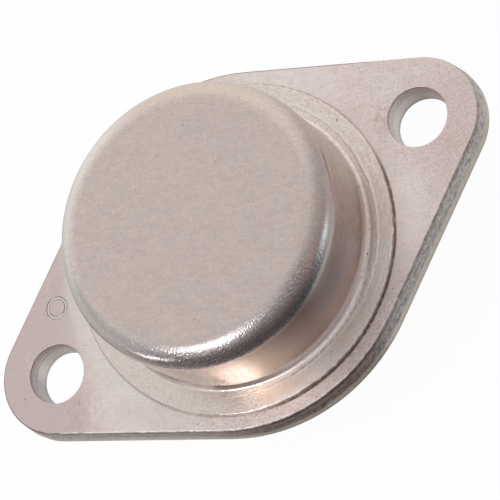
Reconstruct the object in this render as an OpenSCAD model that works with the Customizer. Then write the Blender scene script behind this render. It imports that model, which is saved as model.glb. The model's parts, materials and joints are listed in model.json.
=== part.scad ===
// Power transistor in a diamond-flanged metal can.
//
// A nickel-plated steel base plate carries two leads in glass seals and, on a
// copper heat spreader, the silicon chip. A drawn steel cap is resistance
// welded over them by its brim. The frame's origin is the centre of the plate's
// mounting face: +X runs from screw hole to screw hole, +Z out through the cap,
// and the leads point along -Z.

/* [Base plate] */
// Distance between the centres of the two screw holes
hole_spacing = 30.15; // [27:0.05:37]
// Radius of the plate's two long middle arcs
plate_mid_r = 12.59; // [12.4:0.01:15.2]
// Radius of the plate's two ends, about the screw holes
plate_end_r = 4.31; // [3.5:0.01:5.3]
// Thickness of the plate
plate_t = 2.28; // [1.5:0.01:3.4]
// Diameter of the screw holes in their smooth lower part
screw_hole_d = 3.88; // [3:0.01:4.8]

/* [Blanked edge] */
// Radius that the die rolls round the plate's lower edge
roll_r = 0.4; // [0.1:0.05:0.6]
// Height of the smooth sheared band, roll included, above the mounting face
burnish_h = 0.95; // [0.7:0.05:1.2]
// Distance that the torn band leans in by the time it reaches the top face
tear_lean = 0.16; // [0.05:0.01:0.3]
// Height of a screw hole's smooth wall, roll included, above the mounting face
hole_burnish_h = 1.5; // [1:0.05:1.8]
// Distance that the torn part of a screw hole opens out at the top face
hole_flare = 0.13; // [0.05:0.01:0.3]
// Radius of the roll round a screw hole's lower edge
hole_roll_r = 0.2; // [0.05:0.05:0.4]
// Radius that the tumbled top edge is broken to
edge_break = 0.06; // [0.02:0.01:0.1]

/* [Cap] */
// Outside diameter of the drawn wall
cap_d = 19.24; // [17.4:0.02:20.2]
// Height of the cap above the plate's top face
cap_h = 7.48; // [6.2:0.02:9]
// Thickness of the drawn sheet
cap_sheet = 0.45; // [0.3:0.01:0.6]
// Outside radius between the cap's wall and its top
cap_corner_r = 1.6; // [1:0.05:2.4]
// Radius between the cap's wall and its brim
cap_foot_r = 0.3; // [0.2:0.05:0.4]
// Width of the brim from the wall to its trimmed edge
brim_w = 1.84; // [1.5:0.01:2.2]
// Thickness that the welding electrode leaves the brim
brim_t = 0.34; // [0.25:0.01:0.45]

/* [Weld] */
// Width of the brim's welded ring
weld_ring_w = 0.5; // [0.3:0.05:0.7]
// Gap that the welded ring leaves under the rest of the brim
weld_gap = 0.05; // [0.02:0.01:0.1]
// Distance from the wall to the inner edge of the electrode's flat print
print_start = 0.64; // [0.6:0.02:0.9]
// Depth of the electrode's flat print in the brim
print_depth = 0.05; // [0.02:0.01:0.08]

/* [Leads and seals] */
// Distance between the two leads' centres
lead_spacing = 10.92; // [9.1:0.02:13.1]
// Distance from the further screw hole's centre to the line of the leads
lead_from_hole = 16.89; // [16:0.01:20.3]
// Diameter of the bare lead wire
lead_d = 1; // [0.8:0.02:1.2]
// Length of the leads below the mounting face
lead_len = 11.6; // [8:0.1:14]
// Height of the leads' bonding heads above the plate's top face
lead_rise = 2; // [1.65:0.05:2.5]
// Diameter of the bonding heads
head_d = 1.8; // [1.5:0.05:2.2]
// Thickness of the bonding heads
head_t = 0.35; // [0.25:0.05:0.5]
// Diameter of the holes that the glass seals fill
seal_d = 3.6; // [3:0.05:4.32]
// Thickness of the tin on the dipped part of the leads
tin_t = 0.015; // [0.01:0.005:0.03]
// Bare length that the tin leaves below the mounting face
tin_start = 0.6; // [0.2:0.1:1]
// Length over which the dipped tin feathers out
tin_fade = 0.7; // [0.6:0.1:1.2]

/* [Chip] */
// Diameter of the copper heat spreader
spreader_d = 8; // [6.6:0.1:8.4]
// Thickness of the copper heat spreader
spreader_t = 1.1; // [0.8:0.05:1.2]
// Side of the silicon chip
chip_side = 4.2; // [3.5:0.1:5]
// Thickness of the silicon chip
chip_t = 0.25; // [0.2:0.01:0.3]
// Thickness of the brazed and soldered layers
joint_t = 0.06; // [0.03:0.01:0.1]
// Diameter of the aluminium bond wires
wire_d = 0.38; // [0.25:0.01:0.5]

/* [Hidden] */
$fn = 96;

// Blanked outline: each straight flank touches a middle arc and an end arc, and
// its outward normal is turned this far from the X axis.
end_x = hole_spacing / 2;
flank_angle = acos((plate_mid_r - plate_end_r) / end_x);
flank_len = end_x * sin(flank_angle);
// Width of the profiled rim that is swept round the plate.
rim_w = roll_r + tear_lean;
// Length by which the rim and the flat plate inside it run into each other.
rim_lap = tear_lean / 2;
// Angle by which the arcs' wedges pass the plate's axes before they are cut.
wedge_over = 5;

// Plain ring mark, a shallow round-bottomed groove struck in the plate beside
// the -X screw hole.
mark_x = 2.17 - end_x;
mark_y = 4.12;
mark_r = 0.7;
mark_groove_r = 0.17;
mark_depth = 0.04;

// Cap radii and heights, measured from the plate's top face.
cap_r = cap_d / 2;
cavity_r = cap_r - cap_sheet;
brim_r = cap_r + brim_w;
brim_top = weld_gap + brim_t;
brim_edge_r = brim_t / 3;
print_r = cap_r + print_start;
weld_r = cap_r + brim_w / 2;

// Leads
lead_r = lead_d / 2;
tin_r = lead_r + tin_t;
lead_x = lead_from_hole - end_x;
lead_y = lead_spacing / 2;
lead_tip = 0.2;
head_top = plate_t + lead_rise;
seal_r = seal_d / 2;
seal_recess = 0.1;
meniscus = 0.12;

// Chip stack, on the side of the plate away from the leads: as near to them as
// its clearance from both seals lets it come.
stack_clearance = 0.25;
seal_reach = seal_r + spreader_d / 2 + stack_clearance;
stack_x = lead_x - sqrt(max(0, pow(seal_reach, 2) - pow(lead_y, 2)));
spreader_z = plate_t + joint_t;
chip_solder_z = spreader_z + spreader_t;
chip_z = chip_solder_z + joint_t;
chip_top = chip_z + chip_t;
fillet_w = 0.15;

// Bond wires: the emitter has two side by side, the base has one.
wire_r = wire_d / 2;
wire_rise = 1;
wire_foot = [3 * wire_d, 1.5 * wire_d, wire_d / 2];
emitter_foot = [stack_x + chip_side / 4, -chip_side / 5];
base_foot = [stack_x + chip_side / 4, chip_side / 4];
wire_offset = head_d / 5;

// Overlap of sections that join, and how far a cutter passes a face.
eps = 0.01;
cut_over = 1;

// ---- Round corners in a section ----

// What a round of radius r leaves in the corner between a wall at x and a floor
// at y: added, it fills the corner; taken away, it rounds an edge.
module corner_fillet(x, y, r) {
    difference() {
        translate([x - eps, y - eps]) square(r + eps);
        translate([x + r, y + r]) circle(r);
    }
}

// ---- Base plate ----

// Edge section of the blanked plate: x is measured out from the rim's inner
// side, y up from the mounting face. From below it shows the die's roll, the
// smooth sheared band, the torn band that leans inward, and the broken top edge.
module rim_section() {
    top_w = rim_w - tear_lean;
    difference() {
        polygon([
            [0, 0], [rim_w, 0], [rim_w, burnish_h],
            [top_w, plate_t - edge_break], [top_w - edge_break, plate_t], [0, plate_t]
        ]);
        translate([rim_w, 0]) mirror([1, 0]) corner_fillet(0, 0, roll_r);
    }
}

// Section of the plate from an arc's centre out to its edge.
module arc_section(r) {
    square([r - rim_w + rim_lap, plate_t]);
    translate([r - rim_w, 0]) rim_section();
}

// A quarter of the plate, in a frame turned so that its flank runs along -Y:
// the middle arc's wedge, the flank, and the end arc's wedge follow each other,
// and the wedges run on past the plate's two axes, where they are cut off.
module plate_quarter() {
    intersection() {
        cube([end_x + plate_end_r + cut_over, plate_mid_r + cut_over, plate_t]);
        rotate([0, 0, flank_angle]) {
            rotate_extrude(angle = 90 - flank_angle + wedge_over) arc_section(plate_mid_r);
            rotate([90, 0, 0]) linear_extrude(flank_len) arc_section(plate_mid_r);
            translate([plate_mid_r - plate_end_r, -flank_len, 0])
                mirror([0, 1, 0])
                    rotate_extrude(angle = flank_angle + wedge_over) arc_section(plate_end_r);
        }
    }
}

module plate_blank() {
    for (x = [0, 1], y = [0, 1])
        mirror([x, 0, 0]) mirror([0, y, 0]) plate_quarter();
}

// Punched screw hole: rolled lower edge, smooth wall, then the torn flare.
module screw_hole() {
    r = screw_hole_d / 2;
    rotate_extrude() {
        polygon([
            [0, -cut_over], [r, -cut_over], [r, hole_burnish_h], [r + hole_flare, plate_t],
            [r + hole_flare, plate_t + cut_over], [0, plate_t + cut_over]
        ]);
        corner_fillet(r, 0, hole_roll_r);
    }
}

module base_plate() {
    color([0.80, 0.76, 0.73]) difference() {
        plate_blank();
        for (side = [-1, 1]) {
            translate([side * end_x, 0, 0]) screw_hole();
            translate([lead_x, side * lead_y, -cut_over])
                cylinder(r = seal_r, h = plate_t + 2 * cut_over);
        }
        translate([mark_x, mark_y, plate_t - mark_depth + mark_groove_r])
            rotate_extrude() translate([mark_r, 0]) circle(mark_groove_r);
    }
}

// ---- Cap ----

// Half section of a drawn cup: a wall of radius r up to height h, turned in to a
// flat top round a corner of the given radius.
module cup_section(r, h, corner) {
    square([r, h - corner]);
    square([r - corner, h]);
    translate([r - corner, h - corner]) circle(corner);
}

// Half section of the brim: the trimmed edge is rounded on both sides, the
// electrode's print lowers its outer part, and the welded ring seats it.
module brim_section() {
    translate([0, weld_gap]) {
        square([brim_r - brim_edge_r, brim_t - print_depth]);
        square([print_r, brim_t]);
    }
    translate([0, weld_gap + brim_edge_r])
        square([brim_r, brim_t - print_depth - 2 * brim_edge_r]);
    for (y = [weld_gap + brim_edge_r, brim_top - print_depth - brim_edge_r])
        translate([brim_r - brim_edge_r, y]) circle(brim_edge_r);
    translate([weld_r - weld_ring_w / 2, 0]) square([weld_ring_w, weld_gap + eps]);
}

module cap() {
    color([0.75, 0.70, 0.67])
        translate([0, 0, plate_t]) rotate_extrude() difference() {
            union() {
                translate([0, weld_gap]) cup_section(cap_r, cap_h - weld_gap, cap_corner_r);
                corner_fillet(cap_r, brim_top, cap_foot_r);
                brim_section();
            }
            cup_section(cavity_r, cap_h - cap_sheet, cap_corner_r - cap_sheet);
            corner_fillet(cavity_r, weld_gap, cap_foot_r + cap_sheet);
        }
}

// ---- Leads and seals ----

// Half section of a lead: chamfered tip, tinned length that feathers out, bare
// wire up through the seal, and the flat head that the bond wires are welded to.
module lead_section() {
    polygon([
        [0, -lead_len], [tin_r - lead_tip, -lead_len], [tin_r, lead_tip - lead_len],
        [tin_r, -tin_start - tin_fade], [lead_r, -tin_start], [lead_r, head_top - head_t],
        [head_d / 2, head_top - head_t], [head_d / 2, head_top], [0, head_top]
    ]);
}

module lead(side) {
    color([0.78, 0.76, 0.72])
        translate([lead_x, side * lead_y, 0]) rotate_extrude() lead_section();
}

// Glass seal: a ring between the wire and the plate, a little short of both
// faces, whose surfaces dip where the glass has climbed the metal.
module seal(side) {
    glass_w = seal_r - lead_r;
    dip_r = (pow(glass_w / 2, 2) + pow(meniscus, 2)) / (2 * meniscus);
    dip_x = lead_r + glass_w / 2;
    low = seal_recess;
    high = plate_t - seal_recess;
    color([0.33, 0.36, 0.33])
        translate([lead_x, side * lead_y, 0]) rotate_extrude() difference() {
            translate([lead_r, low]) square([glass_w, high - low]);
            for (y = [low + meniscus - dip_r, high - meniscus + dip_r])
                translate([dip_x, y]) circle(dip_r);
        }
}

// ---- Chip stack ----

module heat_spreader() {
    color([0.85, 0.55, 0.40])
        translate([stack_x, 0, spreader_z]) cylinder(d = spreader_d, h = spreader_t);
}

// Silver braze under the spreader, a little wider than it.
module spreader_braze() {
    color([0.82, 0.80, 0.74])
        translate([stack_x, 0, plate_t]) cylinder(d = spreader_d + fillet_w, h = joint_t);
}

module square_slab(side, t) {
    linear_extrude(t) square(side, center = true);
}

module chip() {
    color([0.45, 0.46, 0.50])
        translate([stack_x, 0, chip_z]) square_slab(chip_side, chip_t);
}

// Soft solder under the chip, a little wider than it.
module chip_solder() {
    color([0.66, 0.67, 0.68])
        translate([stack_x, 0, chip_solder_z]) square_slab(chip_side + fillet_w, joint_t);
}

// ---- Bond wires ----

// Flattened foot of a bond wire, lying along X on the face at z = 0.
module wire_pad() {
    reach = (wire_foot.x - wire_foot.y) / 2;
    linear_extrude(wire_foot.z) {
        square([2 * reach, wire_foot.y], center = true);
        for (side = [-1, 1]) translate([side * reach, 0]) circle(wire_foot.y / 2);
    }
}

// Bond wire from a foot on the chip to a foot on a lead's head. It is one arc
// in an upright plane, cut off level with the two faces that carry its feet.
module bond_wire(from, to, shift) {
    run = norm(to - from);
    climb = head_top - chip_top;
    chord = norm([run, climb]);
    bend_r = (pow(chord / 2, 2) + pow(wire_rise, 2)) / (2 * wire_rise);
    half_angle = asin(chord / 2 / bend_r);
    heading = atan2(to.y - from.y, to.x - from.x);
    color([0.86, 0.86, 0.87])
        translate([from.x, from.y, chip_top]) rotate([0, 0, heading]) translate([0, shift, 0]) {
            difference() {
                rotate([0, -atan2(climb, run), 0])
                    translate([chord / 2, 0, wire_rise - bend_r]) rotate([90, 0, 0])
                        rotate([0, 0, 90 - half_angle]) rotate_extrude(angle = 2 * half_angle)
                            translate([bend_r, 0]) circle(wire_r);
                translate([-wire_d, -wire_d, -2 * wire_d]) cube(2 * wire_d);
                translate([run - wire_d, -wire_d, climb - 2 * wire_d]) cube(2 * wire_d);
            }
            wire_pad();
            translate([run, 0, climb]) wire_pad();
        }
}

module emitter_wire(shift) {
    bond_wire(emitter_foot, [lead_x, -lead_y], shift);
}

base_plate();
cap();
lead(-1);  // emitter_lead
lead(1);  // base_lead
seal(-1);  // emitter_seal
seal(1);  // base_seal
heat_spreader();
spreader_braze();
chip();
chip_solder();
emitter_wire(wire_offset);  // emitter_wire_inner
emitter_wire(-wire_offset);  // emitter_wire_outer
bond_wire(base_foot, [lead_x, lead_y], 0);  // base_wire
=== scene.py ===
"""Looks of a metal-can power transistor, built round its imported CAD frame."""

import json
import math

import bpy
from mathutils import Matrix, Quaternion, Vector


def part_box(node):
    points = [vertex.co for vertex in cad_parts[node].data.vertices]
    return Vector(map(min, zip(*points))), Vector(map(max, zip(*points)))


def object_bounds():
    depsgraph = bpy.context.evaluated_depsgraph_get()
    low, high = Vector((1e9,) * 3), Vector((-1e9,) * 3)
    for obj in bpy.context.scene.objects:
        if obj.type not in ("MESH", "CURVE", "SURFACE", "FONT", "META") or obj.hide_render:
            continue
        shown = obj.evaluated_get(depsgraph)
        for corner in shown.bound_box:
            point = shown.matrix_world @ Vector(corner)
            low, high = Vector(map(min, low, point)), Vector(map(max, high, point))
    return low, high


MM = 0.001

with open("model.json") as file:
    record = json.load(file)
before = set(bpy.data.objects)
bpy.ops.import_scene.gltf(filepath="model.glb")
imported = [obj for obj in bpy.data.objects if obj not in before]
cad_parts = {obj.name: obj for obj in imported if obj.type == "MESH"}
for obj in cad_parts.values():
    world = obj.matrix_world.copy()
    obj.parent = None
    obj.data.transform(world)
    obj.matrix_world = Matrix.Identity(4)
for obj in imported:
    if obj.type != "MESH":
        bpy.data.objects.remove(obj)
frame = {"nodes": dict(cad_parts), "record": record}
cad_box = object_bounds()

# ---- Sizes of the part, in millimetres ----

cap_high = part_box("cap")[1]
mounts = {mount["name"]: mount for mount in frame["record"]["mounts"]}
HOLE_X = mounts["screw_hole_near_leads"]["pos_m"][0] / MM
BRIM_RADIUS = cap_high.x / MM
CAP_TOP = cap_high.z / MM
PLATE_T = 2.28
WALL_RADIUS = 9.62
CORNER_RADIUS = 1.6
# Heights on the plate's edge, above the mounting face: where the painted shade on the die roll
# ends, the top of the smooth sheared band, and the pale and the dark line in the torn band.
FOOT_SHADE_TOP = 0.62
BURNISH_TOP = 0.95
PALE_LINE_Z = 1.78
DARK_LINE_Z = 2.08
# How far from a screw hole's axis the plate looks as it does in the hole.
HOLE_REACH = 2.45
# The roundness that the plate's edges show.
RIM_ROUNDING = 0.13
# Radii of marks on the cap's foot and brim, from the wall outwards.
FOOT_LINE = 9.92
BROWN_LINE = 10.0
SCRATCHED_LINE = 10.24
RIDGE = 10.45
GILT_RING = 10.65
# Centre of the ring struck in the plate, and its radius.
RING_MARK = (-12.905, 4.12)
RING_RADIUS = 0.69


def srgb(red, green, blue):
    """Linear colour of an sRGB one given from 0 to 255."""
    return tuple(
        c / 12.92 if c <= 0.04045 else ((c + 0.055) / 1.055) ** 2.4
        for c in (red / 255, green / 255, blue / 255)
    )


# ---- Shader graph helper ----


class Graph:
    """A node tree with one short method per kind of node. Positions are in millimetres."""

    def __init__(self, tree):
        self.tree = tree
        tree.nodes.clear()

    def node(self, kind, inputs=None, **settings):
        made = self.tree.nodes.new(kind)
        for name, value in settings.items():
            setattr(made, name, value)
        for name, value in (inputs or {}).items():
            self.feed(made.inputs[name], value)
        return made

    def feed(self, socket, value):
        if isinstance(value, bpy.types.NodeSocket):
            self.tree.links.new(value, socket)
        elif socket.type == "RGBA" and len(value) == 3:
            socket.default_value = (*value, 1)
        else:
            socket.default_value = value

    def math(self, operation, a, b=0.0, c=0.0, clamp=False):
        made = self.node("ShaderNodeMath", operation=operation, use_clamp=clamp)
        for socket, value in zip(made.inputs, (a, b, c)):
            self.feed(socket, value)
        return made.outputs[0]

    def times(self, first, *others):
        """Product of all the values."""
        for other in others:
            first = self.math("MULTIPLY", first, other)
        return first

    def linear(self, value, slope, offset):
        """value x slope + offset."""
        return self.math("MULTIPLY_ADD", value, slope, offset)

    def inverse(self, mask):
        """1 where the mask is 0, and 0 where it is 1."""
        return self.math("SUBTRACT", 1.0, mask)

    def vector(self, operation, a, b=(0, 0, 0)):
        made = self.node("ShaderNodeVectorMath", operation=operation)
        self.feed(made.inputs[0], a)
        self.feed(made.inputs[1], b)
        gives_number = operation in ("DOT_PRODUCT", "LENGTH", "DISTANCE")
        return made.outputs["Value" if gives_number else "Vector"]

    def band(self, value, low, high):
        """Smooth step of value from 0 at low to 1 at high, or falling where high is the lower."""
        made = self.node("ShaderNodeMapRange", interpolation_type="SMOOTHSTEP")
        self.feed(made.inputs["Value"], value)
        if low < high:
            ends = (low, high, 0.0, 1.0)
        else:
            ends = (high, low, 1.0, 0.0)
        for name, end in zip(("From Min", "From Max", "To Min", "To Max"), ends):
            made.inputs[name].default_value = end
        return made.outputs[0]

    def ring(self, value, centre, half_width):
        """1 where value is at centre, falling to 0 at half_width either side."""
        off = self.math("ABSOLUTE", self.math("SUBTRACT", value, centre))
        return self.band(off, half_width, 0.0)

    def mix(self, factor, a, b):
        made = self.node("ShaderNodeMix", data_type="RGBA", clamp_factor=True)
        self.feed(made.inputs["Factor"], factor)
        self.feed(made.inputs[6], a)
        self.feed(made.inputs[7], b)
        return made.outputs[2]

    def shades(self, mask, low, high):
        """Colour from low to high as the mask rises. Both are sRGB ones from 0 to 255."""
        return self.mix(mask, srgb(*low), srgb(*high))

    def tint(self, colour, stain, share, *masks):
        """Colour with a share of a stain, an sRGB colour from 0 to 255, where all masks are 1."""
        return self.mix(self.times(*masks, share), colour, srgb(*stain))

    def noise(self, vector, scale, detail=3.0, roughness=0.55, distortion=0.0):
        made = self.node("ShaderNodeTexNoise", noise_dimensions="3D")
        settings = {"Vector": vector, "Scale": scale, "Detail": detail}
        settings |= {"Roughness": roughness, "Distortion": distortion}
        for name, value in settings.items():
            self.feed(made.inputs[name], value)
        return made.outputs["Fac"]

    def place(self):
        """Position in the frame, in millimetres."""
        made = self.node("ShaderNodeVectorMath", operation="SCALE")
        self.feed(made.inputs[0], self.node("ShaderNodeTexCoord").outputs["Object"])
        made.inputs["Scale"].default_value = 1 / MM
        return made.outputs[0]

    def stretched(self, vector, angle, factors):
        """The vector turned by -angle degrees about Z, then scaled along each axis."""
        made = self.node("ShaderNodeMapping", vector_type="TEXTURE")
        self.feed(made.inputs["Vector"], vector)
        made.inputs["Rotation"].default_value = (0, 0, math.radians(angle))
        made.inputs["Scale"].default_value = tuple(1 / f for f in factors)
        return made.outputs[0]

    def joined(self, x, y):
        """A flat vector from two numbers."""
        return self.node("ShaderNodeCombineXYZ", {"X": x, "Y": y}).outputs[0]

    def parts(self, vector):
        return self.node("ShaderNodeSeparateXYZ", {"Vector": vector}).outputs[:3]

    def radius(self, vector):
        """Distance from the Z axis."""
        return self.vector("LENGTH", self.vector("MULTIPLY", vector, (1, 1, 0)))

    def flat_length(self, a, b):
        """Length of the flat vector (a, b)."""
        squares = (self.math("MULTIPLY", a, a), self.math("MULTIPLY", b, b))
        return self.math("SQRT", self.math("ADD", *squares))

    def turn(self, vector):
        """Turn about Z from +X, in degrees from -180 to 180."""
        x, y, _ = self.parts(vector)
        return self.math("MULTIPLY", self.math("ARCTAN2", y, x), math.degrees(1))

    def sector(self, turn, centre, half, soft):
        """1 within half degrees of a turn, falling to 0 over soft degrees more."""
        off = self.math("ABSOLUTE", self.math("SUBTRACT", turn, centre))
        off = self.math("MINIMUM", off, self.math("SUBTRACT", 360.0, off))
        return self.band(off, half + soft, half)

    def flat_distance(self, vector, centre, angle=0, reach=(1, 1)):
        """Distance from a point on a level face, in units of the half axes of a turned oval."""
        off = self.vector("SUBTRACT", vector, (*centre, 0))
        flat = self.stretched(off, angle, (1 / reach[0], 1 / reach[1], 0.001))
        return self.vector("LENGTH", flat)

    def spot(self, vector, centre, reach, angle):
        """1 at the middle of an oval on a level face, falling to 0 at its edge."""
        return self.band(self.flat_distance(vector, centre, angle, reach), 1.0, 0.35)

    def facing_up(self):
        """Z of the surface's own normal."""
        return self.parts(self.node("ShaderNodeTexCoord").outputs["Normal"])[2]

    def rounded(self, radius):
        """Normal of the surface as if its edges were rounded to a radius."""
        made = self.node("ShaderNodeBevel", samples=8)
        made.inputs["Radius"].default_value = radius * MM
        return made.outputs[0]

    def bump(self, height, distance, normal=None):
        made = self.node("ShaderNodeBump")
        self.feed(made.inputs["Height"], height)
        self.feed(made.inputs["Distance"], distance * MM)
        self.feed(made.inputs["Strength"], 1.0)
        if normal is not None:
            self.feed(made.inputs["Normal"], normal)
        return made.outputs[0]

    def surface(self, shader):
        """Gives the output node its shader."""
        output = self.node("ShaderNodeOutputMaterial")
        self.feed(output.inputs["Surface"], shader.outputs[0])


def new_material(name):
    made = bpy.data.materials.new(name)
    made.use_nodes = True
    return made, Graph(made.node_tree)


def finish_material(graph, colour, roughness, normal, **constants):
    """Closes a graph with a Principled shader; metallic is 1 unless a constant says otherwise."""
    shader = graph.node("ShaderNodeBsdfPrincipled")
    graph.feed(shader.inputs["Base Color"], colour)
    graph.feed(shader.inputs["Roughness"], roughness)
    graph.feed(shader.inputs["Normal"], normal)
    shader.inputs["Metallic"].default_value = 1.0
    for socket, value in constants.items():
        shader.inputs[socket].default_value = value
    graph.surface(shader)


# ---- Camera ----

AIM = Vector((0.90, -0.84, 2.28)) * MM
CAMERA_TURN = -65.67
CAMERA_ELEVATION = 61.74
CAMERA_ROLL = -57.17
CAMERA_DISTANCE = 150.06 * MM
LENS = 162.4
# Nearest and farthest that the camera sees, in metres.
NEAREST, FARTHEST = 0.01, 5.0


def direction(turn, elevation):
    """Unit vector out from the object. turn is the angle about +Z from +X, in degrees."""
    t, e = math.radians(turn), math.radians(elevation)
    return Vector((math.cos(t) * math.cos(e), math.sin(t) * math.cos(e), math.sin(e)))


def facing(back):
    """Rotation of a camera or lamp that looks along -back."""
    return (-back).to_track_quat("-Z", "Y")


def make_camera():
    camera = bpy.data.objects.new("camera", bpy.data.cameras.new("camera"))
    bpy.context.scene.collection.objects.link(camera)
    back = direction(CAMERA_TURN, CAMERA_ELEVATION)
    camera.rotation_mode = "QUATERNION"
    camera.rotation_quaternion = facing(back) @ Quaternion((0, 0, 1), math.radians(CAMERA_ROLL))
    camera.location = AIM + back * CAMERA_DISTANCE
    camera.data.lens = LENS
    camera.data.clip_start, camera.data.clip_end = NEAREST, FARTHEST
    bpy.context.scene.camera = camera


# ---- Studio ----

FLOOR_Z = cad_box[0].z / MM - 0.05
# Half the floor's side, in metres.
FLOOR_HALF_SIZE = 3.0
PAPER = (0.9, 0.9, 0.9)
# How much of its own white the floor shows to the eye and in metal. The rest takes the shadow.
PAPER_GLOW = 0.94
# Light of the white room, for rays that the camera and the metal don't see.
ROOM = (0.95, 0.95, 0.95)
# Centre and radius of the round shade about the part, its faces round and up, and its gap to
# the floor, in millimetres.
SHADE_CENTRE = Vector((3, -7, 9))
SHADE_RADIUS = 250
SHADE_COLUMNS, SHADE_ROWS = 64, 32
SHADE_GAP = 0.02
# Turn and elevation of the side that the shade leaves open, and what the shade itself glows.
OPEN_SIDE = (88, 24)
SHADE_GLOW = (0.10, 0.08, 0.08)
# Soft round cards on the shade: turn, elevation, inner and outer size in degrees and stretch of
# each one, what it glows, and its opacity.
CARDS = [
    ((110, 74, 12, 42, 1.0), (0.10, 0.085, 0.09), 0.26),
    ((262, -38, 8, 52, 1.0), (0.105, 0.087, 0.086), 0.9),
    ((182, -46, 8, 32, 1.0), (0.41, 0.37, 0.34), 0.8),
    ((163, -50, 5, 15, 1.0), (0.95, 0.93, 0.92), 0.7),
    ((25, -38, 6, 24, 1.0), (0.78, 0.74, 0.69), 0.8),
    ((288, -32, 5, 26, 1.0), (0.062, 0.076, 0.080), 1.0),
    ((168, 22, 10, 34, 1.3), (0.415, 0.42, 0.425), 0.8),
    ((345, -22, 12, 36, 1.0), (0.50, 0.46, 0.45), 0.75),
    ((222, 40, 8, 26, 1.0), (0.86, 0.78, 0.82), 0.7),
    ((313, 29, 4, 18, 1.0), (0.47, 0.20, 0.18), 0.85),
    ((335, -56, 12, 32, 1.0), (0.64, 0.63, 0.61), 0.95),
    ((240, -66, 10, 21, 1.0), (0.36, 0.33, 0.30), 1.0),
    ((331, -4, 3, 9.5, 1.5), (2.0, 2.25, 2.35), 0.95),
    ((192, -6, 1.5, 5.5, 1.0), (5.0, 4.7, 4.3), 1.0),
    ((200, -1, 2, 6, 1.0), (5.4, 5.2, 4.9), 1.0),
]


def white_where_seen(graph):
    """Factor that is 1 for rays from the camera, from metal and through glass, and 0 for others."""
    path = graph.node("ShaderNodeLightPath").outputs
    seen = graph.math("MAXIMUM", path["Is Camera Ray"], path["Is Glossy Ray"])
    return graph.math("MAXIMUM", seen, path["Is Transmission Ray"])


def glow(graph, colour):
    return graph.node("ShaderNodeEmission", {"Color": colour, "Strength": 1.0})


def blend(graph, factor, first, second):
    """Surface of two shaders: the first where the factor is 0, and the second where it is 1."""
    made = graph.node("ShaderNodeMixShader")
    graph.feed(made.inputs[0], factor)
    graph.feed(made.inputs[1], first.outputs[0])
    graph.feed(made.inputs[2], second.outputs[0])
    graph.surface(made)


def make_floor():
    """White paper under the leads' tips. To the eye and in metal it is mostly its own white."""
    size = FLOOR_HALF_SIZE
    mesh = bpy.data.meshes.new("floor")
    corners = [(-size, -size, 0), (size, -size, 0), (size, size, 0), (-size, size, 0)]
    mesh.from_pydata(corners, [], [(0, 1, 2, 3)])
    floor = bpy.data.objects.new("floor", mesh)
    floor.location.z = FLOOR_Z * MM
    bpy.context.scene.collection.objects.link(floor)
    made, graph = new_material("white_paper")
    paper = graph.node("ShaderNodeBsdfDiffuse", {"Color": PAPER})
    own_white = graph.times(white_where_seen(graph), PAPER_GLOW)
    blend(graph, own_white, paper, glow(graph, (1, 1, 1)))
    mesh.materials.append(made)


def patch(graph, ray, turn, elevation, inner, outer, stretch):
    """Soft round patch about a direction: 1 within inner degrees of it, 0 beyond outer.

    stretch makes it taller than it is wide."""
    axis = direction(turn, elevation)
    side = direction(turn + 90, 0)
    rise = axis.cross(side) / stretch
    across = graph.vector("DOT_PRODUCT", ray, side)
    up = graph.vector("DOT_PRODUCT", ray, rise)
    off = graph.flat_length(across, up)
    sines = math.sin(math.radians(outer)), math.sin(math.radians(inner))
    ahead = graph.band(graph.vector("DOT_PRODUCT", ray, axis), 0.0, 0.1)
    return graph.times(graph.band(off, *sines), ahead)


def make_world():
    """An evenly lit white room."""
    world = bpy.data.worlds.new("studio")
    bpy.context.scene.world = world
    world.use_nodes = True
    world.cycles.sampling_method = "NONE"
    graph = Graph(world.node_tree)
    colour = graph.mix(white_where_seen(graph), ROOM, (1, 1, 1))
    light = graph.node("ShaderNodeBackground", {"Color": colour, "Strength": 1.0})
    output = graph.node("ShaderNodeOutputWorld")
    graph.feed(output.inputs["Surface"], light.outputs[0])


def shade_mesh():
    """A sphere whose part below the floor is drawn in to lie just above it."""
    columns, rows = SHADE_COLUMNS, SHADE_ROWS
    rays = [direction(360 * i / columns, 180 * j / rows - 90)
            for j in range(rows + 1) for i in range(columns)]
    lowest = FLOOR_Z + SHADE_GAP - SHADE_CENTRE.z
    points = []
    for ray in rays:
        out = ray * SHADE_RADIUS
        if out.z < lowest:
            out *= lowest / out.z
        points.append((SHADE_CENTRE + out) * MM)
    faces = [(j * columns + i, j * columns + (i + 1) % columns,
              (j + 1) * columns + (i + 1) % columns, (j + 1) * columns + i)
             for j in range(rows) for i in range(columns)]
    mesh = bpy.data.meshes.new("shade")
    mesh.from_pydata(points, [], faces)
    return mesh


def make_shade():
    """A dark round shade with soft edges, as a photographer stands beside polished metal.

    It is seen only in the metal."""
    mesh = shade_mesh()
    shade = bpy.data.objects.new("shade", mesh)
    bpy.context.scene.collection.objects.link(shade)
    made, graph = new_material("shade")
    made.cycles.emission_sampling = "NONE"
    ray = graph.vector("NORMALIZE", graph.vector("SUBTRACT", graph.place(), SHADE_CENTRE))
    along = graph.vector("DOT_PRODUCT", ray, direction(*OPEN_SIDE))
    # The shade thins out towards its open side.
    cover = graph.times(graph.math("MULTIPLY_ADD", along, -0.42, 0.60, clamp=True),
                        graph.band(along, 0.95, 0.3))
    colour = SHADE_GLOW
    for place, card_glow, opacity in CARDS:
        card = graph.times(patch(graph, ray, *place), opacity)
        colour = graph.mix(card, colour, card_glow)
        cover = graph.math("MAXIMUM", cover, card)
    blend(graph, cover, graph.node("ShaderNodeBsdfTransparent"), glow(graph, colour))
    mesh.materials.append(made)
    for kind in ("camera", "diffuse", "transmission", "volume_scatter", "shadow"):
        setattr(shade, "visible_" + kind, False)


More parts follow.
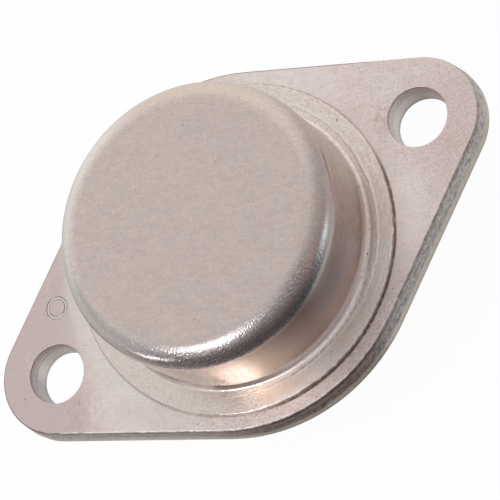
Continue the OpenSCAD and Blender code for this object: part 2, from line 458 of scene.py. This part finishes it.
def make_lamp(name, turn, elevation, distance, width, height, brightness):
    """An oval soft light that faces the part. White paper has a brightness of 1."""
    data = bpy.data.lights.new(name, "AREA")
    data.shape = "ELLIPSE"
    data.size, data.size_y = width * MM, height * MM
    area = math.pi * data.size * data.size_y / 4
    data.energy = brightness * math.pi * area
    lamp = bpy.data.objects.new(name, data)
    back = direction(turn, elevation)
    lamp.location = back * distance * MM
    lamp.rotation_mode = "QUATERNION"
    lamp.rotation_quaternion = facing(back)
    lamp.visible_camera = False
    bpy.context.scene.collection.objects.link(lamp)


# ---- Materials ----

# Turn of the rolled sheet's grain.
GRAIN_ANGLE = -29.5
# The side where the joint of plate and cap is stained: middle, half width and soft edge of a
# sector, in degrees.
STAINED_SIDE = (-55, 42, 14)
# Stains on the plate's upper face: centre, half axes and turn of an oval, its colour and share.
STAINS = [
    ((12.9, 4.0), (3.0, 1.9), 35, (212, 188, 176), 0.5),
    ((-15.0, -3.5), (2.2, 1.1), 60, (188, 170, 172), 0.4),
    ((16.2, -2.9), (1.2, 0.9), 20, (206, 182, 172), 0.5),
    ((-12.0, 5.6), (1.3, 0.6), 30, (205, 186, 184), 0.5),
    ((-11.4, -4.6), (3.4, 2.4), 35, (250, 243, 240), 0.3),
    ((8.5, 8.6), (5.5, 1.9), -33, (252, 244, 238), 0.6),
    ((13.0, 4.0), (3.0, 2.0), -33, (250, 238, 232), 0.4),
    ((13.1, 1.3), (1.8, 1.3), 60, (200, 173, 162), 0.65),
    ((-10.5, -6.3), (4.0, 1.5), -34, (226, 216, 215), 0.6),
]
# Other ovals, each with its centre, half axes and turn: a painted sheen on the plate beside the
# cap, two places with pale strokes, one where the plate's face is wavy, the wrinkles in the cap's
# top and the dark ticks on its brim.
PAINTED_SHEEN = ((10.7, -5.0), (4.5, 2.3), 54)
STROKES = [((-13.7, -3.9), (1.6, 0.7), 62), ((-16.4, 1.9), (1.1, 0.4), 80)]
WAVY = ((13.4, 3.6), (3.4, 2.2), 35)
WRINKLED = ((-6.6, 3.4), (2.2, 4.6), 150)
TICKS = [((10.5, 3.1), (0.15, 0.08), 60), ((7.61, -6.2), (0.12, 0.07), 54)]
TICK_COLOUR = (74, 64, 66)


class Look:
    """A material in the making: its graph, and noise by place in the frame."""

    def __init__(self, name):
        self.material, self.graph = new_material(name)
        self.place = self.graph.place()

    def noise(self, *settings):
        return self.graph.noise(self.place, *settings)

    def stretched_noise(self, angle, factors, *settings):
        return self.graph.noise(self.graph.stretched(self.place, angle, factors), *settings)


class CentredLook(Look):
    """A look that changes with the distance from Z and with the turn about it."""

    def __init__(self, name):
        super().__init__(name)
        self.x, self.y, self.z = self.graph.parts(self.place)
        self.radius = self.graph.radius(self.place)
        self.turn = self.graph.turn(self.place)

    def sector(self, *sector):
        """Mask of a sector about Z: its middle, half width and soft edge, in degrees."""
        return self.graph.sector(self.turn, *sector)


class PlateLook(CentredLook):
    """Dull nickel on blanked steel: matt faces, a smooth sheared band and a torn band above it."""

    def __init__(self):
        super().__init__("plated_plate")
        graph, x, y, z = self.graph, self.x, self.y, self.z
        self.flat = graph.band(graph.math("ABSOLUTE", graph.facing_up()), 0.55, 0.9)
        self.upper_face = graph.band(z, PLATE_T - 0.5, PLATE_T - 0.3)
        off_hole = graph.math("SUBTRACT", graph.math("ABSOLUTE", x), HOLE_X)
        self.in_hole = graph.band(graph.flat_length(off_hole, y), HOLE_REACH, HOLE_REACH - 0.15)
        # The edge is darkest in the middle of its length, and paler towards both ends.
        self.pale_side = graph.math("MAXIMUM", graph.band(x, -2.5, -9.0),
                                    graph.times(graph.band(x, 3.5, 10.0), 0.6))
        self.front = graph.inverse(self.pale_side)
        self.streak = self.stretched_noise(GRAIN_ANGLE, (0.3, 1.3, 1), 4.5, 3, 0.6)
        self.grain = self.noise(8.5, 2, 0.7)
        self.scores = self.stretched_noise(0, (1, 1, 0.12), 4.0, 3, 0.65)
        self.fracture = self.stretched_noise(0, (1, 1, 1.3), 6.0, 4, 0.75)
        self.torn = self.torn_band()
        self.torn_side = graph.times(self.torn, graph.inverse(self.flat))
        self.rounded = graph.rounded(RIM_ROUNDING)
        self.rim = graph.times(graph.band(graph.parts(self.rounded)[2], 0.992, 0.94),
                               graph.band(z, PLATE_T - 0.12, PLATE_T - 0.04))
        self.near = graph.times(graph.band(y, 0.0, -3.0), graph.inverse(self.in_hole))
        self.lit_rim = graph.times(self.rim, self.near, graph.band(x, 5.0, 0.0))

    def torn_band(self):
        """Mask of the torn band. Its lower line wanders, and is higher in the holes."""
        graph = self.graph
        line = graph.linear(self.in_hole, 0.45, BURNISH_TOP - 0.18)
        line = graph.linear(self.noise(0.9, 3, 0.6), 0.56, line)
        line = graph.linear(graph.band(self.x, -5.0, -10.0), 0.22, line)
        return graph.band(graph.math("SUBTRACT", self.z, line), -0.07, 0.1)

    def face_tints(self):
        """Slow changes of the faces' colour, from the cap out to the ends, and a painted sheen
        beside the cap.
        """
        graph, x, y = self.graph, self.x, self.y
        cloud = self.noise(0.42, 3, 0.6, 0.4)
        blotches = self.noise(1.6, 3, 0.6)
        colour = graph.shades(graph.band(cloud, 0.38, 0.62), (243, 227, 223), (244, 232, 226))
        ends = graph.band(graph.linear(blotches, 3.0, graph.math("ABSOLUTE", x)), 13.0, 17.5)
        colour = graph.tint(colour, (222, 206, 204), 0.45, ends)
        right_end = graph.times(graph.band(x, 12.5, 15.5), graph.band(y, 3.0, -0.5))
        colour = graph.tint(colour, (218, 196, 191), 0.6, right_end)
        left_end = graph.band(graph.linear(y, -0.4, x), -11.2, -14.8)
        colour = graph.tint(colour, (208, 192, 191), 0.8, left_end)
        colour = graph.tint(colour, (218, 201, 194), 0.3, graph.band(blotches, 0.36, 0.66))
        beside_cap = graph.times(graph.band(self.radius, 13.0, 12.3), graph.band(x, -9.5, -10.5))
        colour = graph.tint(colour, (236, 230, 225), 0.55, beside_cap)
        # A painted sheen beside the cap.
        return graph.tint(colour, (255, 241, 236), 0.9, graph.spot(self.place, *PAINTED_SHEEN))

    def handling_marks(self, colour):
        """Stains, pale strokes, small dark specks, and the ring mark's groove painted pale as a
        highlight.
        """
        graph = self.graph
        ragged = graph.band(self.noise(2.2, 4, 0.65, 0.8), 0.32, 0.68)
        for centre, reach, angle, stain, share in STAINS:
            oval = graph.spot(self.place, centre, reach, angle)
            colour = graph.tint(colour, stain, share, oval, ragged)
        strokes = self.stretched_noise(50, (0.6, 2.2, 1), 1.9, 4, 0.65, 0.6)
        strokes = graph.band(strokes, 0.48, 0.62)
        for oval in STROKES:
            mask = graph.spot(self.place, *oval)
            colour = graph.tint(colour, (250, 243, 236), 0.5, mask, strokes)
        specks = graph.band(self.noise(3.1, 1, 0.5), 0.245, 0.21)
        colour = graph.tint(colour, (128, 112, 110), 0.5, specks)
        # The ring mark's groove, painted pale as a highlight, on the upper face only.
        ring_highlight = graph.ring(graph.flat_distance(self.place, RING_MARK), RING_RADIUS, 0.12)
        return graph.tint(colour, (255, 250, 247), 0.9, ring_highlight, self.upper_face)

    def face_grain(self, colour):
        """Fine grain, and painted sparkle near the rim: pale glints and dark specks."""
        graph, x, y = self.graph, self.x, self.y
        sparkle = self.noise(6.5, 1, 0.5)
        painted_sparkle_area = graph.math("MAXIMUM", graph.band(y, -7.0, -9.5),
                            graph.times(graph.band(x, 10.5, 13.0), 0.6))
        # Painted glints: pale grains where the sparkle noise is high, dark specks where it is low.
        bright = graph.band(sparkle, 0.56, 0.66)
        colour = graph.tint(colour, (255, 250, 247), 0.5, bright, painted_sparkle_area)
        dark = graph.band(sparkle, 0.42, 0.32)
        colour = graph.tint(colour, (178, 154, 150), 0.5, dark, painted_sparkle_area)
        shade = graph.linear(graph.band(self.grain, 0.3, 0.7), 0.5,
                             graph.times(graph.band(self.streak, 0.3, 0.7), 0.5))
        return graph.tint(colour, (176, 158, 154), 0.24, shade)

    def joint_dirt(self, colour):
        """Brown dirt in the joint with the cap, thickest on the stained side."""
        graph = self.graph
        joint = graph.times(graph.ring(self.radius, BRIM_RADIUS + 0.03, 0.12), self.upper_face)
        stained = graph.times(self.sector(*STAINED_SIDE),
                              graph.band(self.noise(2.2, 3), 0.3, 0.55))
        dirt = graph.times(joint, graph.linear(stained, 0.65, 0.15))
        return graph.mix(graph.times(dirt, self.flat), colour, srgb(104, 70, 46))

    def sheared_colour(self, hole_shade):
        """The smooth band: fine upright scores, duller on the right flank and in the holes."""
        graph = self.graph
        scored = graph.band(self.scores, 0.35, 0.65)
        colour = graph.shades(scored, (212, 206, 194), (230, 225, 216))
        colour = graph.tint(colour, (186, 178, 166), 0.5, graph.band(self.x, 4.0, 8.0))
        hole_wall = graph.shades(hole_shade, (226, 220, 219), (203, 193, 188))
        return graph.mix(graph.times(self.in_hole, 0.9), colour, hole_wall)

    def torn_colour(self, hole_shade):
        """The torn band: broken chunks, violet-brown in front and blue-grey on the right flank."""
        graph, z, pale_side = self.graph, self.z, self.pale_side
        chunks = self.stretched_noise(0, (1, 1, 1.4), 2.4, 3, 0.7)
        chunks = graph.linear(self.fracture, 0.5, graph.times(chunks, 0.5))
        low = graph.shades(pale_side, (140, 118, 118), (192, 180, 178))
        high = graph.shades(pale_side, (216, 200, 198), (240, 230, 224))
        colour = graph.mix(graph.band(chunks, 0.38, 0.62), low, high)
        right_flank = graph.band(self.x, 3.0, 7.0)
        blue_grey = graph.shades(graph.band(chunks, 0.42, 0.58), (176, 174, 173), (236, 238, 236))
        colour = graph.mix(graph.times(right_flank, 0.7), colour, blue_grey)
        slow = self.noise(0.8, 2, 0.5)
        pale_line = graph.times(graph.ring(z, PALE_LINE_Z, 0.26),
                                graph.linear(self.front, 0.6, 0.2),
                                graph.band(slow, 0.3, 0.6))
        colour = graph.mix(pale_line, colour, srgb(226, 206, 204))
        dark_line = graph.times(graph.ring(z, DARK_LINE_Z, 0.2),
                                graph.linear(graph.band(slow, 0.65, 0.35), 0.35, 0.4),
                                graph.linear(right_flank, -0.4, 1.0))
        line_colour = graph.shades(pale_side, (112, 82, 84), (150, 132, 126))
        colour = graph.mix(dark_line, colour, line_colour)
        hole_wall = graph.shades(hole_shade, (255, 247, 240), (222, 204, 195))
        colour = graph.mix(graph.times(self.in_hole, 0.8), colour, hole_wall)
        burr = graph.ring(z, PLATE_T, 0.22)
        return graph.tint(colour, (150, 124, 112), 0.7, self.in_hole, burr)

    def edge_colour(self):
        """The blanked edge, round the outline and in the holes."""
        graph = self.graph
        # Painted shade on the hole walls, darker on their side towards larger x.
        hole_side = graph.times(graph.math("SIGN", self.x), HOLE_X)
        hole_shade = graph.band(graph.math("SUBTRACT", self.x, hole_side), -1.6, 0.2)
        colour = graph.mix(self.torn, self.sheared_colour(hole_shade),
                           self.torn_colour(hole_shade))
        # Painted shade along the edge's foot, strongest in front.
        shaded_foot = graph.times(graph.band(self.z, FOOT_SHADE_TOP, FOOT_SHADE_TOP - 0.27),
                             graph.linear(self.front, 0.4, 0.3))
        return graph.mix(shaded_foot, colour, srgb(146, 138, 122))

    def rim_colour(self, colour):
        """The broken top edge: painted glints where it is lit, worn dark beside that and at the
        back.
        """
        graph, x = self.graph, self.x
        # Painted glints on the lit part of the rim.
        painted_glint = graph.times(self.lit_rim, graph.band(self.noise(2.0, 2), 0.40, 0.50))
        colour = graph.mix(painted_glint, colour, srgb(255, 253, 252))
        worn = graph.times(self.rim, self.near, graph.band(x, 1.0, 5.0))
        ragged = graph.band(self.noise(2.4, 3, 0.6), 0.48, 0.6)
        worn = graph.times(worn, graph.linear(ragged, 0.5, 0.25))
        colour = graph.mix(worn, colour, srgb(142, 120, 114))
        far = graph.band(graph.linear(x, -0.3, self.y), 0.0, 3.0)
        return graph.tint(colour, (110, 96, 88), 0.85, self.rim, far, graph.inverse(self.in_hole))

    def roughness(self):
        graph = self.graph
        rough = graph.linear(self.flat, 0.12, 0.26)
        rough = graph.linear(self.torn_side, 0.16, rough)
        rough = graph.linear(graph.band(self.grain, 0.3, 0.7), 0.06, rough)
        return graph.linear(self.lit_rim, -0.2, rough)

    def normal(self):
        """Grain on the faces, flecks along the rim, scores and chips on the edge."""
        graph, x = self.graph, self.x
        waves = graph.times(self.stretched_noise(40, (0.6, 1.6, 1), 1.9, 2, 0.5, 1.2),
                            graph.spot(self.place, *WAVY))
        height = graph.math("ADD", graph.times(self.streak, 0.5), graph.times(self.grain, 0.5))
        normal = graph.bump(graph.linear(waves, 1.6, height), 0.011, self.rounded)
        normal = graph.bump(graph.times(self.fracture, self.lit_rim), 0.04, normal)
        flecks = graph.times(self.rim, self.near, graph.band(x, -4.0, -1.0),
                             graph.band(x, 6.0, 2.0), self.noise(3.6, 2, 0.7))
        normal = graph.bump(flecks, 0.16, normal)
        scored = graph.times(self.scores, graph.inverse(self.flat))
        normal = graph.bump(scored, 0.02, normal)
        return graph.bump(graph.times(self.fracture, self.torn_side), 0.06, normal)

    def build(self):
        colour = self.face_grain(self.handling_marks(self.face_tints()))
        colour = self.graph.mix(self.flat, self.edge_colour(), self.joint_dirt(colour))
        colour = self.rim_colour(colour)
        finish_material(self.graph, colour, self.roughness(), self.normal())
        return self.material


class CapLook(CentredLook):
    """Nickel on drawn steel: matt top, hammered corner, drawn wall and a pressed brim.

    Sectors are given as their middle, half width and soft edge, in degrees about Z."""

    # Millimetres along the wall for each degree about Z.
    ARC = 0.168
    # The side where the brim is plain, and the sector where the corner's foot is polished smooth.
    CALM_SIDE = (-152, 40, 25)
    SMOOTH_SECTOR = (-140, 16, 12)

    def __init__(self):
        super().__init__("plated_cap")
        graph, z = self.graph, self.z
        corner_z = CAP_TOP - CORNER_RADIUS
        self.top = graph.times(
            graph.band(z, CAP_TOP - 0.5, CAP_TOP - 0.05),
            graph.band(self.radius, WALL_RADIUS - 0.6, WALL_RADIUS - CORNER_RADIUS - 0.1))
        self.low = graph.band(z, PLATE_T + 1.3, PLATE_T + 0.75)
        self.wall = graph.times(graph.band(z, corner_z + 0.3, corner_z - 0.3),
                                graph.inverse(self.low))
        self.corner = graph.math("SUBTRACT", graph.inverse(self.top),
                                 graph.math("MAXIMUM", self.wall, self.low), clamp=True)
        self.lower_corner = graph.band(z, CAP_TOP - 0.4, CAP_TOP - 0.7)
        self.smooth = graph.times(self.sector(*self.SMOOTH_SECTOR), self.lower_corner)
        self.grain = self.stretched_noise(GRAIN_ANGLE, (0.75, 1.2, 1), 9.0, 2, 0.7)
        self.mottle = self.noise(1.5, 4, 0.65)
        self.hammer = self.noise(8.5, 1, 0.5)
        self.drawn = self.stretched_noise(0, (1, 1, 0.1), 3.2, 4, 0.65)
        self.circles = graph.noise(graph.joined(self.radius, graph.times(self.turn, 0.04)),
                                   5.0, 3, 0.7)
        self.worn = self.noise(1.8, 3, 0.6)
        # Radius with a slow wander, for lines pressed into the brim.
        self.wander = graph.linear(self.noise(0.8, 3), 0.22, self.radius)

    def sheet_colour(self):
        """The plain plated sheet, as it is on the top."""
        graph = self.graph
        cloud = self.noise(0.3, 3, 0.6, 0.5)
        colour = graph.shades(graph.band(cloud, 0.36, 0.64), (211, 197, 196), (214, 200, 192))
        mottled = graph.band(self.mottle, 0.35, 0.65)
        colour = graph.tint(colour, (208, 190, 180), 0.5, mottled)
        streaks = self.stretched_noise(GRAIN_ANGLE, (0.6, 1.3, 1), 2.6, 4, 0.75)
        return graph.tint(colour, (226, 210, 200), 0.6, graph.band(streaks, 0.38, 0.62))

    def corner_colour(self, colour):
        """Golden on the far side, violet-grey between hammer marks on the near one, with painted
        sparkle on the marks and a painted teal reflection low down.
        """
        def tinted(before, stain, share, sector, *masks):
            mask = self.sector(*sector)
            return self.graph.tint(before, stain, share, mask, self.corner, *masks)

        dark_marks = self.graph.band(self.hammer, 0.62, 0.36)
        painted_sparkle_marks = self.graph.band(self.hammer, 0.56, 0.72)
        colour = tinted(colour, (226, 207, 190), 0.55, (72, 45, 30))
        colour = tinted(colour, (216, 213, 213), 0.6, (-125, 30, 20))
        colour = tinted(colour, (178, 166, 171), 1.0, (-98, 32, 26), dark_marks)
        # Painted sparkle: pale on the hammer marks.
        colour = tinted(colour, (246, 244, 246), 1.0, (-98, 32, 26), painted_sparkle_marks)
        colour = tinted(colour, (236, 230, 231), 0.45, (-88, 12, 14))
        colour = tinted(colour, (240, 233, 228), 0.9, (155, 45, 30))
        # A painted teal reflection on the lower corner.
        return tinted(colour, (190, 202, 202), 0.5, (-52, 10, 12), self.lower_corner)

    def brushed(self):
        """Slanting strokes round the wall."""
        graph = self.graph
        along = graph.times(self.turn, self.ARC)
        slant = graph.joined(graph.times(along, 0.45),
                             graph.linear(along, 0.7, graph.times(self.z, 2.4)))
        return graph.band(graph.noise(slant, 2.1, 4, 0.7, 0.3), 0.42, 0.58)

    def wall_colour(self):
        """Fine upright draw lines, painted shade and reflections, and slow tints round the wall."""
        graph, z = self.graph, self.z

        def tinted(before, stain, share, sector, *masks):
            return graph.tint(before, stain, share, self.sector(*sector), *masks)

        lines = graph.band(self.drawn, 0.3, 0.7)
        colour = graph.shades(lines, (204, 190, 181), (215, 200, 189))
        hue = graph.band(self.noise(0.55, 2, 0.5), 0.4, 0.6)
        # Painted shade on the near side of the wall.
        shaded_near_side = graph.shades(hue, (166, 147, 134), (154, 141, 138))
        colour = graph.mix(graph.times(self.sector(-40, 42, 24), 0.75), colour, shaded_near_side)
        colour = tinted(colour, (134, 118, 108), 0.5, (-45, 60, 40), self.brushed())
        # Bluish, a painted warm reflection towards the foot, painted brown shade towards the
        # corner, then pale, mellow and tan.
        colour = tinted(colour, (163, 160, 168), 0.7, (-55, 13, 14))
        # A painted warm reflection towards the foot.
        colour = tinted(colour, (212, 180, 154), 0.45, (-70, 20, 20), graph.band(z, 6.0, 3.8))
        # Painted brown shade towards the corner.
        colour = tinted(colour, (132, 110, 98), 0.5, (-56, 14, 18), graph.band(z, 4.6, 7.2))
        colour = tinted(colour, (219, 206, 196), 0.6, (-116, 20, 14))
        colour = tinted(colour, (150, 130, 117), 0.75, (-86, 12, 9))
        colour = tinted(colour, (202, 178, 166), 0.8, (-114, 3, 5))
        dull = graph.band(self.mottle, 0.38, 0.6)
        return tinted(colour, (200, 184, 172), 0.5, (-22, 14, 20), dull)

    def brim_colour(self):
        """Paler metal with worn circular lines, golden stipple, a painted reflection on the near
        side, and dirt at its edge.
        """
        graph = self.graph
        calm_side = self.sector(*self.CALM_SIDE)
        lively = graph.inverse(graph.times(calm_side, 0.8))
        colour = graph.shades(graph.band(self.worn, 0.3, 0.7), (244, 229, 220), (249, 238, 230))
        circled = graph.band(self.circles, 0.4, 0.7)
        colour = graph.tint(colour, (212, 196, 188), 0.4, circled, lively)
        colour = graph.tint(colour, (228, 217, 209), 0.6, calm_side)
        # A painted pale reflection on the near brim.
        colour = graph.tint(colour, (254, 247, 245), 0.8, self.sector(-66, 26, 14))
        flecks = graph.band(self.noise(4.2, 2, 0.6), 0.58, 0.68)
        colour = graph.tint(colour, (190, 162, 146), 0.35, flecks, lively)
        scratches = graph.times(graph.ring(self.wander, SCRATCHED_LINE, 0.07),
                                self.sector(-75, 26, 12))
        broken = graph.band(self.noise(3.5, 2), 0.35, 0.55)
        colour = graph.tint(colour, (140, 118, 110), 0.7, scratches, broken)
        gilt = graph.math("MAXIMUM", self.sector(-100, 5, 8),
                          graph.times(self.sector(-62, 8, 10), 0.7))
        stipple = graph.band(self.noise(15.0, 2, 0.6), 0.4, 0.62)
        gilt = graph.times(gilt, graph.ring(self.radius, GILT_RING, 0.6),
                           graph.linear(stipple, 0.6, 0.15))
        colour = graph.mix(gilt, colour, srgb(238, 210, 178))
        brown = graph.times(graph.ring(self.radius, BROWN_LINE, 0.3), self.sector(-28, 12, 12))
        colour = graph.tint(colour, (178, 152, 134), 0.55, brown)
        edge = graph.band(graph.linear(self.worn, 0.16, self.radius),
                          BRIM_RADIUS - 0.06, BRIM_RADIUS + 0.06)
        stained = graph.times(self.sector(*STAINED_SIDE), graph.band(self.worn, 0.3, 0.5))
        dirt = graph.times(edge, graph.linear(stained, 0.5, 0.15))
        colour = graph.mix(dirt, colour, srgb(122, 80, 52))
        for oval in TICKS:
            colour = graph.tint(colour, TICK_COLOUR, 0.8, graph.spot(self.place, *oval))
        return colour

    def fine_grain(self, colour):
        """Dark specks, and a grain that is weaker on the near brim."""
        graph = self.graph
        specks = graph.band(self.noise(3.3, 1, 0.5), 0.235, 0.2)
        colour = graph.tint(colour, (120, 104, 98), 0.45, specks)
        clean = graph.times(self.low, self.sector(-62, 42, 20))
        grained = graph.times(graph.band(self.grain, 0.3, 0.7), graph.linear(clean, -0.18, 0.3))
        return graph.mix(grained, colour, srgb(160, 146, 142))

    def roughness(self):
        """Mattest on the top. On the brim and the foot it changes from side to side."""
        graph = self.graph
        rough = graph.linear(self.top, 0.16, 0.16)
        matt = graph.linear(self.sector(-58, 38, 18), 0.2, 0.04)
        polished_edge = graph.times(
            self.sector(-108, 14, 14),
            graph.band(self.radius, BRIM_RADIUS - 0.25, BRIM_RADIUS - 0.12))
        matt = graph.linear(polished_edge, -0.12, matt)
        rough = graph.math("ADD", rough, graph.times(self.low, matt))
        rough = graph.linear(graph.band(self.mottle, 0.3, 0.7), 0.06, rough)
        rough = graph.linear(self.smooth, -0.07, rough)
        left_foot = graph.times(self.sector(-134, 5, 5), graph.ring(self.z, PLATE_T + 0.65, 0.5))
        rough = graph.linear(left_foot, 0.3, rough)
        near_foot = graph.times(self.sector(-74, 14, 10), graph.ring(self.radius, FOOT_LINE, 0.3))
        return graph.linear(near_foot, 0.2, rough)

    def normal(self):
        """Grain with faint wrinkles in the top, hammer marks, draw lines and pressed circles."""
        graph = self.graph
        along = graph.stretched(self.place, WRINKLED[2], (0.35, 2.4, 1))
        wrinkles = graph.times(graph.noise(graph.vector("ADD", along, (7, 3, 0)), 1.6, 2, 0.5),
                               graph.spot(self.place, *WRINKLED))
        height = graph.linear(wrinkles, 1.2, graph.times(self.grain, 0.8))
        height = graph.times(height, graph.linear(self.smooth, -0.85, 1.0))
        normal = graph.bump(height, 0.014)
        hammered = graph.times(
            self.hammer, graph.linear(self.wall, 0.25, self.corner),
            graph.linear(self.smooth, -0.95, 1.0),
            graph.linear(self.sector(-106, 50, 30), 0.93, 0.07))
        normal = graph.bump(hammered, 0.022, normal)
        normal = graph.bump(graph.times(self.drawn, self.wall), 0.006, normal)
        ridge = graph.times(graph.ring(self.wander, RIDGE, 0.16), self.sector(-8, 38, 20))
        pressed = graph.math("ADD", self.circles, graph.linear(self.worn, 0.4, ridge))
        return graph.bump(graph.times(pressed, self.low), 0.014, normal)

    def build(self):
        colour = self.corner_colour(self.sheet_colour())
        colour = self.graph.mix(self.wall, colour, self.wall_colour())
        colour = self.graph.mix(self.low, colour, self.brim_colour())
        colour = self.fine_grain(colour)
        finish_material(self.graph, colour, self.roughness(), self.normal())
        return self.material


def drawn_lead():
    """Bright tin over drawn wire: fine lines along it, and a duller bare length at the seal."""
    look = Look("tinned_lead")
    graph = look.graph
    lines = look.stretched_noise(0, (1, 1, 0.12), 6.0, 3, 0.6)
    ripple = look.stretched_noise(0, (1, 1, 0.5), 1.6, 3, 0.55)
    tin = graph.shades(graph.band(ripple, 0.35, 0.65), (190, 188, 186), (216, 214, 210))
    tin = graph.tint(tin, (158, 155, 152), 0.35, graph.band(lines, 0.45, 0.7))
    bare = graph.shades(graph.band(lines, 0.35, 0.65), (172, 162, 150), (196, 186, 172))
    z = graph.parts(look.place)[2]
    dipped = graph.band(graph.linear(ripple, 0.5, z), -0.55, -1.05)
    colour = graph.mix(dipped, bare, tin)
    rough = graph.linear(graph.band(ripple, 0.3, 0.7), 0.14, 0.2)
    normal = graph.bump(graph.math("ADD", lines, ripple), 0.012)
    finish_material(graph, colour, rough, normal)
    return look.material


def fired_glass():
    """Dark green-grey sealing glass with paler streaks and a few small bubbles."""
    look = Look("seal_glass")
    graph = look.graph
    swirl = look.noise(1.2, 4, 0.6, 1.0)
    colour = graph.shades(graph.band(swirl, 0.35, 0.65), (50, 58, 54), (82, 90, 84))
    bubbles = graph.band(look.noise(5.5, 1, 0.5), 0.68, 0.74)
    colour = graph.tint(colour, (150, 156, 148), 0.5, bubbles)
    rough = graph.linear(bubbles, 0.2, 0.1)
    normal = graph.bump(graph.linear(swirl, 0.5, bubbles), 0.012)
    finish_material(graph, colour, rough, normal, Metallic=0.0)
    return look.material


def plain(name, red, green, blue, roughness, **constants):
    """A material with fine grain in its colour and surface, for the small pieces."""
    look = Look(name)
    graph = look.graph
    grain = look.noise(8.0, 3)
    pale = srgb(red, green, blue)
    dark = tuple(c * 0.8 for c in pale)
    colour = graph.mix(graph.band(grain, 0.3, 0.7), dark, pale)
    finish_material(graph, colour, roughness, graph.bump(grain, 0.01), **constants)
    return look.material


def dress(slots):
    """Gives each CAD node the material made for its slot in the record."""
    for part in frame["record"]["subparts"]:
        node = frame["nodes"][part["node"]]
        node.data.materials.clear()
        node.data.materials.append(slots[part["material_slot"]])


make_camera()
make_floor()
make_world()
make_shade()
make_lamp("softbox", turn=215, elevation=55, distance=180, width=68, height=58, brightness=5.4)
dress({
    "plated_plate": PlateLook().build(),
    "plated_cap": CapLook().build(),
    "tinned_lead": drawn_lead(),
    "seal_glass": fired_glass(),
    "copper": plain("copper", 205, 140, 115, 0.35),
    "braze": plain("braze", 205, 200, 185, 0.4),
    "silicon": plain("silicon", 95, 98, 106, 0.15, Metallic=0.6),
    "solder": plain("solder", 165, 167, 170, 0.45),
    "bond_wire": plain("bond_wire", 215, 215, 218, 0.35),
})
bpy.context.scene.view_settings.view_transform = "Standard"
